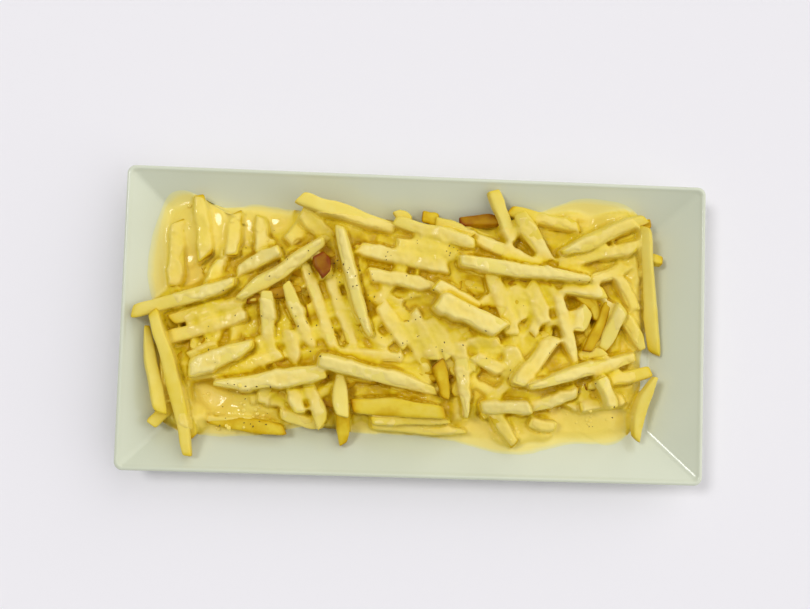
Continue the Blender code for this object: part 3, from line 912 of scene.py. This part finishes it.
# %% Soft ovals and noise over the grid
def patch(rows):
    """Sum of soft ovals: amount * exp(-(distance in half widths)^2)."""
    total = 0.0
    for place_x, place_y, half_x, half_y, amount in rows:
        away = ((plan_x / MM - place_x) / half_x) ** 2 + ((plan_y / MM - place_y) / half_y) ** 2
        total = total + amount * np.exp(-away)
    return total


def plan_noise(size, shift):
    """Noise with lumps of this many millimetres; each use has a shift of its own."""
    return noise(plan_x, plan_y, size * MM, shift)


HELD_MOST = 8 * MM
pool = sauce_surface(plan_x, plan_y)
held = SAUCE_LEVEL + patch(HELD_SAUCE) * MM
pool = np.maximum(pool, np.minimum(held, pool + HELD_MOST))
deep = np.clip(patch(DEEP_SAUCE) + 0.25 * plan_noise(16, 4.4), 0, 1)
bare = patch(BARE)
pits = patch([(px, py, size, size, depth) for px, py, size, depth in PITS])
print("sauce is deep in", round(100 * (deep > 0.5).mean()), "% of the grid")

# %% [markdown]
# Sauce clings to a fry as a coat that widens it, thick in some places and nothing in others. The
# heights that it covers are read from places shoved aside by up to a millimetre, which makes
# its edges waver along each fry.

# %% Coat on the fries
COAT = 0.8 * MM
patchiness = plan_noise(10, 2.2) + 0.5 * plan_noise(4, 8.1)
# From 0 where a fry is left bare to 1 where it is well coated
cling = smooth_step(-0.6, 0.5, patchiness + 0.4 + 1.5 * deep - 1.2 * bare)
# Negative where a fry stays bare, so that the sauce ends below its skin
film = (1.2 * cling - 0.55 + 0.35 * plan_noise(4, 5.1) + 0.6 * deep - bare) * MM
shove_x = (0.9 * plan_noise(5, 12.5) + 0.5 * plan_noise(2.5, 13.5)) * MM
shove_y = (0.9 * plan_noise(5, 14.5) + 0.5 * plan_noise(2.5, 15.5)) * MM
shoved = sample(heap, plan_x + shove_x, plan_y + shove_y)
base = np.maximum(shoved + (widen(shoved, COAT) - shoved) * cling, pool)
print("film from", round(film.min() / MM, 1), "to", round(film.max() / MM, 1), "mm")

# %% [markdown]
# Two balls are rolled. A large one, smoothed, gives the heap's general height, and the gaps are
# filled to some millimetres below that: little where the sauce is deep, more elsewhere. A small
# one then bridges from fry to fry, and leaves the fillets that thick sauce has.

# %% Filling the gaps
SMALL_BALL = 1.5 * MM
LARGE_BALL = 9 * MM
FILL_DROP = 7.8
DEEP_DROP = 1.2
envelope = blur(roll_ball(base, LARGE_BALL), 3 * MM)
unevenness = 2.2 * plan_noise(8, 6.6) + 1.2 * plan_noise(3.5, 7.7)
drop = FILL_DROP - (FILL_DROP - DEEP_DROP) * deep + unevenness * (1 - deep) + pits
closed = blur(roll_ball(np.maximum(base, envelope - drop * MM), SMALL_BALL), 0.45 * MM)
# From 0 on the open pool to 1 on the fries
on_fries = smooth_step(0.5 * MM, 3 * MM, closed - pool)
print("the heap covers", round(100 * (on_fries > 0.5).mean()), "% of the grid")

# %% [markdown]
# The skin of the sauce isn't plain. Half-melted shreds stand out as soft lumps, curds make it
# finely uneven, and it pulls thin on steep faces, which lets the fries' corners through.

# %% Lumps of cheese
# Place, radius and height in millimetres
CHEESE_LUMPS = (
    (-122, 27, 7, 1.6), (-135, 17, 5, 1.0), (-75, 55, 9, 1.4), (-10, 48, 6, 1.1),
    (12, 46, 6, 1.1), (-12, 5, 6, 1.2), (38, -36, 8, 1.6), (48, -30, 6, 1.2),
    (110, -37, 5, 1.0), (90, -20, 6, 1.0), (-125, 0, 6, 1.1), (-107, -15, 6, 1.0),
    (-92, -22, 5, 1.0), (30, 42, 5, 0.9),
)


def make_lumps():
    """Low domes rise * sqrt(1 - distance^2), their outlines uneven by noise, then smoothed."""
    height = 0.0
    for place_x, place_y, radius, rise in CHEESE_LUMPS:
        wobble = 1 + 0.25 * plan_noise(5, place_x)
        away = np.hypot(plan_x / MM - place_x, plan_y / MM - place_y) / radius / wobble
        height = np.maximum(height, rise * MM * np.sqrt(np.clip(1 - away**2, 0, 1)))
    return blur(height, 0.8 * MM)


lumps = make_lumps()
print("lumps up to", round(lumps.max() / MM, 1), "mm")

# %% Skin of the sauce
STEEP = 0.9
steepness = np.hypot(*np.gradient(closed, CELL))
thinned = np.clip(2.0 * (steepness - STEEP), 0, 4) * MM
skin = blur(closed + (film - thinned) * on_fries + lumps, 0.4 * MM)
curd = 0.35 * plan_noise(2.4, 3.3) * MM * (0.3 + 0.7 * on_fries * (1 - 0.5 * deep))
ripple = 0.8 * plan_noise(7, 9.9) * MM * deep * on_fries
cover = np.maximum(skin + curd + ripple, pool)
print("sauce up to", round(cover.max() / MM, 1), "mm")

# %% [markdown]
# Smooth sauce shines where it happens to lean towards a lamp. Noise puts such a place anywhere, so
# the four that count are laid as soft flat facets: the cover there is drawn to a plane through
# its own mean height.

# %% Facets that shine
# Place and half widths in millimetres
FACETS = (
    (-120.5, 61, 4.6, 6), (-102.8, 60.5, 3.5, 8), (-86.5, 61.5, 5.5, 4.5),
    (-137, 35.5, 4.2, 4.5),
)
# Rise of the facets' plane along the dish and across it
LEAN = (0.2, -0.04)
wet = deep
for place_x, place_y, half_x, half_y in FACETS:
    offset_x, offset_y = plan_x - place_x * MM, plan_y - place_y * MM
    share = np.exp(-(((offset_x / half_x) ** 2 + (offset_y / half_y) ** 2) / MM**2) ** 2)
    middle = (cover * share).sum() / share.sum()
    cover = cover + (middle + LEAN[0] * offset_x + LEAN[1] * offset_y - cover) * share
    wet = np.maximum(wet, share)
print("sauce is wet in", round(100 * (wet > 0.5).mean()), "% of the grid")

# %% [markdown]
# Hollows are painted browner and deeper in colour than ridges: mostly painted shade, for light
# that reaches them only after bouncing off cheese and potato many times, and partly oil that
# gathers there. Both materials read how far each point lies below the height of its
# surroundings.

# %% Painted shade in hollows
HOLLOW_RANGE = 3.5 * MM
around = blur(cover, 4 * MM)


def hollow_shade(x, y, z):
    """Painted shade: half where level with its surroundings, 1 at 3.5 mm below, 0 as far above.

    Deep sauce evens this out, and so does the open rim of the heap.
    """
    heaped = 0.4 + 0.6 * smooth_step(0, 0.35, core_inside(x, y))
    below = (sample(around, x, y) - z) / (2 * HOLLOW_RANGE)
    return np.clip(0.5 + below * heaped * (1 - 0.8 * sample(deep, x, y)), 0, 1)


print("surroundings up to", round(around.max() / MM, 1), "mm")

# %% [markdown]
# ## Potato
# A fried stick is straw yellow where it stayed soft and brown at its corners and ends. One number
# adds up its browning, a cloud 6 mm across, and painted shade from the hollow that it lies in. One
# ramp turns that into colour, so browning and painted shade lie on the one line that frying
# follows. The skin is only half glossy, with a fine grain, and a little light soaks in.

# %% Fried potato
POTATO_COLOURS = (
    (0.0, "#F0E080"), (0.3, "#EBD562"), (0.5, "#E3C834"), (0.61, "#D2AC0A"), (0.74, "#BE9000"),
    (1.0, "#853C00"),
)


def fried_potato():
    """Blanched and fried potato: straw to golden brown, faintly waxy, light soaking in."""
    material, add = new_material("fried_potato")
    place = add("TexCoord").outputs["Object"]
    brown = add("Attribute", attribute_name="brown").outputs["Fac"]
    # Painted shade: this value makes potato in hollows browner and deeper in colour
    low = add("Attribute", attribute_name="hollow_shade").outputs["Fac"]
    cloud = add("TexNoise", {"Vector": place, "Scale": 1 / (6 * MM), "Detail": 3.0})
    grain = add("TexNoise", {"Vector": place, "Scale": 1 / (1.2 * MM), "Detail": 2.0})
    toned = add("Math", {0: cloud, 1: 0.4, 2: brown}, operation="MULTIPLY_ADD")
    # Browning plus the painted shade of the hollow, for the one ramp
    browned_and_shaded = add("Math", {0: low, 1: 0.6, 2: toned}, operation="MULTIPLY_ADD")
    scaled = add("Math", {0: browned_and_shaded, 1: 0.45}, operation="MULTIPLY")
    sockets = {
        "Base Color": add("ValToRGB", {"Fac": scaled}, stops=POTATO_COLOURS),
        "Normal": add("Bump", {"Height": grain, "Strength": 0.5, "Distance": 0.2 * MM}),
        "Roughness": 0.45,
        "IOR": 1.45,
        "Specular IOR Level": 0.2,
        "Subsurface Weight": 0.08,
        "Subsurface Scale": 1.5 * MM,
        "Subsurface Radius": (1.0, 0.7, 0.3),
    }
    add("OutputMaterial", {"Surface": add("BsdfPrincipled", sockets)})
    return material


# %% Join the fries
# Hidden fries need fewer points
UNDER_FRY_RINGS = 16
UNDER_FRY_ROUND = 16
# Counting on from here keeps their wrinkles unlike those of the fries that show
UNDER_FIRST = 200


def join_fries(name, fries, first_number, rings, points_round, material):
    """One piece of many fries, each a closed shell, with a crease round its cut ends."""
    shells, browning = zip(
        *(fry_surface(fry, first_number + k, rings, points_round) for k, fry in enumerate(fries))
    )
    points, faces = closed_shells(np.array(shells))
    # Each point also carries the painted shade of the hollow it lies in
    values = {"brown": np.array(browning).reshape(-1), "hollow_shade": hollow_shade(*points.T)}
    piece = mesh_object(name, points, faces, material, "fried_potato", values)
    piece.data.set_sharp_from_angle(angle=math.radians(60))
    return piece


potato = fried_potato()
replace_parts(join_fries("fries_on_top", shown, 0, FRY_RINGS, FRY_ROUND, potato), "fries")
join_fries("fries_underneath", under, UNDER_FIRST, UNDER_FRY_RINGS, UNDER_FRY_ROUND, potato)

# %% [markdown]
# ## The sauce as one piece
# The sauce is one closed piece. Its upper side is a grid whose border is bent onto the outline of
# the pool, and near that border it thins to a rounded edge that meets the porcelain. Rings just
# under the dish's face close it below, where no one can look.

# %% Plan of the sauce
SAUCE_COLUMNS = 431
SAUCE_LINES = 201
EDGE_WIDTH = 7 * MM
EDGE_START = smooth_step(-0.25, 1, 0)
UNDERSIDE = (0.96, 0.92, 0.88, 0.83, 0.78)
SAUCE_BED = 0.8 * MM
# The sauce stays this far below the solids' top
TOP_ROOM = 0.05 * MM


def sauce_plan():
    """A square grid drawn out to a rectangle, then scaled so that its border is the outline.

    The scale grows by the fourth power from 1 in the middle to its full value at the border.
    """
    steps = (np.linspace(-1, 1, SAUCE_COLUMNS), np.linspace(-1, 1, SAUCE_LINES))
    u, v = np.meshgrid(*steps, indexing="ij")
    px, py = u * SAUCE_HALF[0], v * SAUCE_HALF[1]
    border = np.maximum(np.abs(u), np.abs(v))
    at_border = np.hypot(px, py) / np.maximum(border, 1e-9)
    reach = sauce_reach(np.arctan2(py, px), SAUCE_LOBES + FILM_LOBES)
    scale = 1 + (reach / np.maximum(at_border, 1e-9) - 1) * border**4
    return px * scale + SAUCE_CENTRE[0], py * scale + SAUCE_CENTRE[1], border


def close_below(points, faces, rim):
    """Rings drawn in from the rim to each share, just under the dish's face, then a fan."""
    after = np.roll(np.arange(len(rim)), -1)
    outer = rim
    for share in UNDERSIDE:
        ring = points[rim] * [share, share, 1] + [*np.multiply(SAUCE_CENTRE, 1 - share), 0]
        ring[:, 2] = dish_surface(ring[:, 0], ring[:, 1]) - SAUCE_BED
        inner = len(points) + np.arange(len(rim))
        points = np.concatenate([points, ring])
        faces += np.stack([outer, outer[after], inner[after], inner], -1)[:, ::-1].tolist()
        outer = inner
    points = np.concatenate([points, [[*SAUCE_CENTRE, FLOOR_HEIGHT - SAUCE_BED]]])
    centre = np.full(len(rim), len(points) - 1)
    faces += np.stack([outer, outer[after], centre], -1)[:, ::-1].tolist()
    return points, faces


# %% Sauce surface
def make_sauce(material):
    """The grid at the height of the cover, thinned towards its border and closed below."""
    x, y, border = sauce_plan()
    from_edge = (1 - border) * SAUCE_HALF[1]
    thinning = from_edge / EDGE_WIDTH / (1 - 0.55 * sample(on_fries, x, y))
    rounding = (smooth_step(-0.25, 1, thinning) - EDGE_START) / (1 - EDGE_START)
    floor = dish_surface(x, y)
    z = np.minimum(floor + (sample(cover, x, y) - floor) * rounding, CAD_BOX[1][2] - TOP_ROOM)
    index = np.arange(x.size).reshape(x.shape)
    rim = np.concatenate([index[:-1, 0], index[-1, :-1], index[:0:-1, -1], index[0, :0:-1]])
    faces = grid_faces(*x.shape)[:, ::-1].tolist()
    points, faces = close_below(np.stack([x, y, z], -1).reshape(-1, 3), faces, rim)
    fields = {
        "depth": (z - floor) / MM,
        "flow": sample(wet, x, y),
        "lump": sample(lumps, x, y) / MM,
        # Painted shade for the hollows of the heap
        "hollow_shade": hollow_shade(x, y, z),
        "on_fries": sample(on_fries * (1 - 0.7 * deep), x, y),
    }
    spare = np.zeros(len(points) - x.size)
    values = {label: np.concatenate([field.reshape(-1), spare]) for label, field in fields.items()}
    piece = mesh_object("cheese_sauce_flow", points, faces, material, "cheese_sauce", values)
    piece.data.set_sharp_from_angle(angle=math.radians(100))
    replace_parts(piece, "cheese_sauce")


# %% [markdown]
# The sauce is cheese melted in milk, so it is opaque: butter yellow in the open, paler and greener
# where the dish shows through a thin film. In the hollows of the heap it is painted ochre, as
# painted shade. Two ramps hold this, one by that painted shade for the heap and one by depth for
# the pool. Where the sauce is deep it sets smooth and wet, and elsewhere it is rougher, so both
# gloss and grain read how wet it is.

# %% Cheese sauce
# Heaped sauce from ridge to hollow: the darker ochre stops are painted shade
HEAPED_SHADE_COLOURS = (
    (0.1, "#F2DE82"), (0.35, "#EFD66C"), (0.5, "#EBD250"), (0.68, "#E4CA1E"), (0.9, "#CEAA08"),
)
POOLED_COLOURS = ((0.0, "#DEDEAC"), (0.08, "#ECDE84"), (0.4, "#F3DE70"), (1.0, "#F3DA64"))
LUMP_COLOUR = "#F6DA48"


def cheese_sauce():
    """Melted cheese in milk: opaque yellow with an oily sheen, satin on fries, wet where deep."""
    material, add = new_material("cheese_sauce")
    place = add("TexCoord").outputs["Object"]
    labels = ("depth", "flow", "lump", "hollow_shade", "on_fries")
    read = {label: add("Attribute", attribute_name=label).outputs["Fac"] for label in labels}
    cloud = add("TexNoise", {"Vector": place, "Scale": 1 / (5 * MM), "Detail": 3.0})
    grain = add("TexNoise", {"Vector": place, "Scale": 1 / (2.2 * MM), "Detail": 3.0})
    # The hollow value adds painted shade: ochre in the hollows of the heap
    cloud_and_painted_shade = add("Math", {0: cloud, 1: 0.3, 2: read["hollow_shade"]}, operation="MULTIPLY_ADD")
    shifted = add("Math", {0: cloud_and_painted_shade, 1: 0.15}, operation="SUBTRACT")
    scaled = add("Math", {0: read["depth"], 1: 0.2}, operation="MULTIPLY")
    heaped = add("ValToRGB", {"Fac": shifted}, stops=HEAPED_SHADE_COLOURS)
    pooled = add("ValToRGB", {"Fac": scaled}, stops=POOLED_COLOURS)
    body = add("Mix", {0: read["on_fries"], 6: pooled, 7: heaped}, data_type="RGBA").outputs[2]
    soft = add("Math", {0: read["lump"], 1: 0.45}, operation="MULTIPLY")
    cheese = add("Mix", {0: soft, 6: body, 7: linear(LUMP_COLOUR)}, data_type="RGBA")
    rough = add("MapRange", {"Value": read["flow"], "To Min": 0.45, "To Max": 0.1})
    strength = add("MapRange", {"Value": read["flow"], "To Min": 0.45, "To Max": 0.2})
    sockets = {
        "Base Color": cheese.outputs[2],
        "Roughness": rough,
        "Normal": add("Bump", {"Height": grain, "Strength": strength, "Distance": 0.3 * MM}),
        "IOR": 1.45,
        "Specular IOR Level": 0.25,
        "Coat Weight": 0.2,
        "Coat Roughness": 0.08,
        "Subsurface Weight": 0.06,
        "Subsurface Scale": 1.2 * MM,
        "Subsurface Radius": (1.0, 0.75, 0.3),
    }
    add("OutputMaterial", {"Surface": add("BsdfPrincipled", sockets)})
    return material


sauce_material = cheese_sauce()
make_sauce(sauce_material)

# %% [markdown]
# ## Pepper and bubbles
# Both are small rounded grains that lie in clusters on the sauce: ground pepper and burnt crumbs
# of half a millimetre or so, and air that has risen where the sauce is deep. One rule scatters
# them, and each is laid on whatever is on top at its place. Grains painted into the sauce's colour
# would cast no shade and catch no light.

# %% Scattering
WIDEST_ACROSS = 20
FROM_EDGE = 6 * MM


def in_sauce(x, y):
    """Whether a place is well inside the outline of the pool."""
    away_x, away_y = x - SAUCE_CENTRE[0], y - SAUCE_CENTRE[1]
    return math.hypot(away_x, away_y) < sauce_reach(math.atan2(away_y, away_x)) - FROM_EDGE


def surface_height(x, y):
    """Height of whatever lies on top at a place."""
    x, y = np.array([x]), np.array([y])
    return np.maximum(sample(cover, x, y), sample(heap, x, y) + WRINKLE_ROOM)[0]


def scattered(clusters, seed, across, smallest, largest):
    """Place, radius and height of each grain, by bell-shaped draws about each cluster's place.

    The spread across the dish is this share of that along it, and 20 mm at most.
    """
    draw = np.random.default_rng(seed)
    for place_x, place_y, spread, count in clusters:
        for _ in range(count):
            x = (place_x + draw.normal(0, spread)) * MM
            y = (place_y + draw.normal(0, min(spread * across, WIDEST_ACROSS))) * MM
            radius = draw.uniform(smallest, largest) * MM
            if in_sauce(x, y):
                yield x, y, radius, surface_height(x, y)


# %% Pepper
# Clusters: place, spread and count
SPECK_CLUSTERS = (
    (20, 45, 2, 7), (-2, 49, 2, 2), (-16, 43, 2, 2), (-46, 35, 2, 4), (-41, 32, 3, 4),
    (-37, 22, 4, 5), (-1, 6, 3, 4), (17, -15, 4, 5), (-6, -8, 4, 4), (-68, 0, 3, 3),
    (-110, -48, 14, 14), (-92, -54, 8, 8), (-124, -14, 5, 4), (110, -56, 14, 8),
    (-8, 15, 60, 36), (60, -10, 45, 16), (-90, 10, 35, 14),
)
SPECK_RINGS = 5
SPECK_ROUND = 7
SPECK_FLATNESS = 0.5


def make_specks(material):
    """Each speck: radius * (cos latitude, flatness * sin latitude), uneven by a sine round it."""
    latitude = np.radians(np.linspace(-72, 72, SPECK_RINGS))[:, None]
    bearing = np.arange(SPECK_ROUND) * 2 * math.pi / SPECK_ROUND
    shells = []
    for x, y, radius, top in scattered(SPECK_CLUSTERS, 5, 1.0, 0.25, 0.55):
        out = radius * (1 + 0.3 * np.sin(2 * bearing + x / MM)) * np.cos(latitude)
        z = top + SPECK_FLATNESS * radius * np.sin(latitude)
        ring = (x + out * np.cos(bearing), y + out * np.sin(bearing), z)
        shells.append(np.stack(np.broadcast_arrays(*ring), -1))
    mesh_object("pepper_specks", *closed_shells(np.array(shells)), material, "fried_potato")


def ground_pepper():
    """Dark, dry, matt grains, stained brown by oil: no glint, so they read as specks."""
    material, add = new_material("ground_pepper")
    grain = add("BsdfPrincipled", {"Base Color": linear("#665018"), "Roughness": 0.7})
    add("OutputMaterial", {"Surface": grain})
    return material


make_specks(ground_pepper())

# %% Bubbles
# Clusters: place, spread and count
BUBBLE_CLUSTERS = (
    (-124, -46, 2, 2), (-102, -48, 6, 8), (-92, -53, 5, 6), (-112, -64, 5, 8),
    (-123, -14, 3, 2), (110, -58, 9, 6), (95, -53, 5, 3), (110, 74, 5, 2), (-112, 68, 14, 5),
    (60, -68, 12, 4),
)
BUBBLE_RINGS = 6
BUBBLE_ROUND = 14
BUBBLE_FLATNESS = 0.45


def make_bubbles(material):
    """Each dome: radius * (sin a, flatness * cos a) for a from under the surface to the top."""
    angle = np.linspace(1.0, 0.12, BUBBLE_RINGS)[:, None] * math.radians(110)
    bearing = np.arange(BUBBLE_ROUND) * 2 * math.pi / BUBBLE_ROUND
    shells = []
    for x, y, radius, top in scattered(BUBBLE_CLUSTERS, 9, 0.6, 0.6, 1.4):
        out = radius * np.sin(angle)
        z = top + BUBBLE_FLATNESS * radius * np.cos(angle)
        ring = (x + out * np.cos(bearing), y + out * np.sin(bearing), z)
        shells.append(np.stack(np.broadcast_arrays(*ring), -1))
    points, faces = closed_shells(np.array(shells))
    count = len(points)
    # Bubbles carry a fixed painted shade of 0.6 in their hollow value
    values = {"depth": np.full(count, 4.0), "flow": np.ones(count), "hollow_shade": np.full(count, 0.6)}
    mesh_object("bubbles", points, faces, material, "cheese_sauce", values)


make_bubbles(sauce_material)

# %% [markdown]
# ## Floor, light and camera
# A pale floor, even light from all round, and one broad soft light from above the far side, which
# puts the shade on the near side of each fry. A second, small lamp gives the glaze and the wet
# sauce something sharp to mirror.

# %% Floor
FLOOR_HALF = 4.0
FLOOR_COLOUR = "#F2F0F4"


def make_floor():
    """One large square of painted board for the dish to stand on."""
    corners = [(-1, -1), (1, -1), (1, 1), (-1, 1)]
    mesh = bpy.data.meshes.new("floor")
    mesh.from_pydata([(FLOOR_HALF * x, FLOOR_HALF * y, 0) for x, y in corners], [], [(0, 1, 2, 3)])
    item = bpy.data.objects.new("floor", mesh)
    bpy.context.scene.collection.objects.link(item)
    # Matt white paint: it takes the dish's soft shadow and mirrors nothing
    material, add = new_material("painted_board")
    paint = add("BsdfPrincipled", {"Base Color": linear(FLOOR_COLOUR), "Roughness": 0.9})
    add("OutputMaterial", {"Surface": paint})
    mesh.materials.append(material)


make_floor()


# %% Light
def add_sun(name, towards, strength, angle, colour):
    """A distant light of this apparent size, shining from a direction."""
    lamp = bpy.data.lights.new(name, "SUN")
    lamp.energy = strength
    lamp.angle = math.radians(angle)
    lamp.color = linear(colour)[:3]
    item = bpy.data.objects.new(name, lamp)
    item.rotation_euler = Vector(towards).to_track_quat("Z", "Y").to_euler()
    bpy.context.scene.collection.objects.link(item)


SKY_COLOUR = "#F4F4F8"
SKY_STRENGTH = 0.38
# Direction, strength, apparent size in degrees and colour
add_sun("broad_key", (1.25, 0.5, 1.0), 1.85, 100, "#FFFEFB")
add_sun("small_lamp", (-0.54, 0.24, 1.0), 0.95, 15, "#FFFFFF")
world = bpy.data.worlds.new("even_light")
world.use_nodes = True
sky = world.node_tree.nodes["Background"].inputs
sky["Color"].default_value = linear(SKY_COLOUR)
sky["Strength"].default_value = SKY_STRENGTH
bpy.context.scene.world = world
bpy.context.scene.view_settings.view_transform = "Standard"

# %% [markdown]
# The camera looks almost straight down. Its direction, roll and lens were fitted to where the
# dish's corners lie in the picture, with the distance chosen. A few degrees off the vertical
# matter, because they decide how wide each sloping side looks.

# %% Camera
LENS = 52.0
SENSOR = 36.0
AIM = Vector((-7.0, 12.5, 26.0)) * MM
DISTANCE = 700 * MM
TILT_X = math.radians(3.99)
TILT_Y = math.radians(-2.87)
ROLL = math.radians(1.79)


def place_camera():
    """Looks down at the aim from a direction a few degrees off the vertical, then rolls."""
    cos_x = math.cos(TILT_X)
    back = Vector((math.sin(TILT_Y) * cos_x, -math.sin(TILT_X), cos_x * math.cos(TILT_Y)))
    back.normalize()
    right = Vector((0, 1, 0)).cross(back).normalized()
    up = back.cross(right)
    rolled_right = math.cos(ROLL) * right + math.sin(ROLL) * up
    rolled_up = -math.sin(ROLL) * right + math.cos(ROLL) * up
    data = bpy.data.cameras.new("camera")
    data.lens = LENS
    data.sensor_width = SENSOR
    data.clip_end = 20
    item = bpy.data.objects.new("camera", data)
    facing = Matrix((rolled_right, rolled_up, back)).transposed().to_4x4()
    item.matrix_world = Matrix.Translation(AIM + back * DISTANCE) @ facing
    bpy.context.scene.collection.objects.link(item)
    bpy.context.scene.camera = item


place_camera()
eye = bpy.context.scene.camera.matrix_world.translation
print("camera at", [round(c / MM) for c in eye], "mm")
